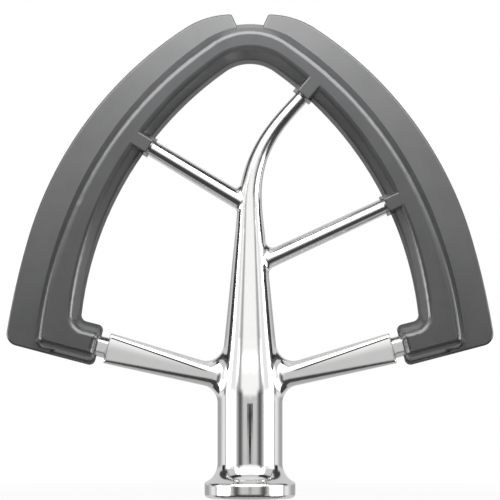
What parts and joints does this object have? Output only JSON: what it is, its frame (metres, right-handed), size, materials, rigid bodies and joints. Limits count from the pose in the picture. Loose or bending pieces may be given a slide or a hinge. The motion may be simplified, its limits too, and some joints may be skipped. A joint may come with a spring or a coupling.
{
  "type": "stand mixer flat beater",
  "caption": "Flat beater for a stand mixer: polished cast frame with a shaft socket, branching spokes and side arms, and a soft wiping edge moulded round its outer loop.",
  "frame": {"origin": "middle of the collar's end face, on the hub's axis, where the mixer's shaft goes in", "axes": "+Z along the hub towards the beater's tip, +X across the beater, +Y through its thickness towards the side with the pin slot"},
  "size_m": [0.137, 0.0256, 0.136],
  "materials": {
    "steel": "stainless steel casting, polished to a mirror",
    "silicone": "grey silicone with a soft satin surface"
  },
  "bodies": {
    "root": {"beater_frame": "steel", "silicone_edge": "silicone"}
  },
  "joints": []
}
